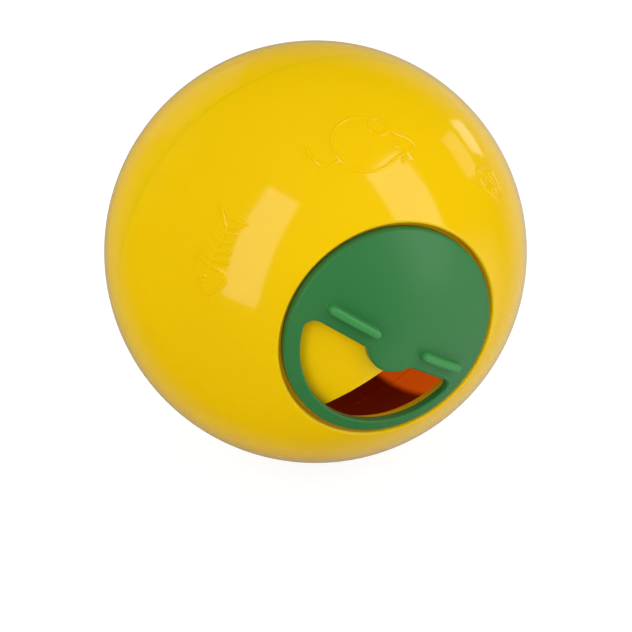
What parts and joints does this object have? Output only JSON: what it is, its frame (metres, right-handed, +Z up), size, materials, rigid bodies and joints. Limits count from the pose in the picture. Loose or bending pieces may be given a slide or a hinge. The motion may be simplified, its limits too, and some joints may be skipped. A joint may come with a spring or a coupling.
{
  "type": "treat ball",
  "caption": "Hollow treat ball in two lapped half shells, with a dished shutter disc that turns on a snap pivot in a flush pocket to open, narrow or close a half-round port.",
  "frame": {"origin": "the point where the ball touches the surface that it lies on, straight below its centre", "axes": "+Z up, the shutter looks along -Y, +X to the right when facing the shutter"},
  "size_m": [0.075, 0.0764, 0.075],
  "materials": {
    "yellow_shell": "polished moulded plastic, coloured all through, slightly translucent",
    "green_shutter": "satin moulded plastic, coloured all through"
  },
  "bodies": {
    "ball": {"front_shell": "yellow_shell", "rear_shell": "yellow_shell"},
    "shutter": {"shutter_disc": "green_shutter"}
  },
  "joints": [
    {"name": "shutter_turn", "type": "hinge", "parent": "ball", "child": "shutter", "pos_m": [0, 0, 0.0375], "axis": [0, -1, 0], "continuous": true}
  ]
}
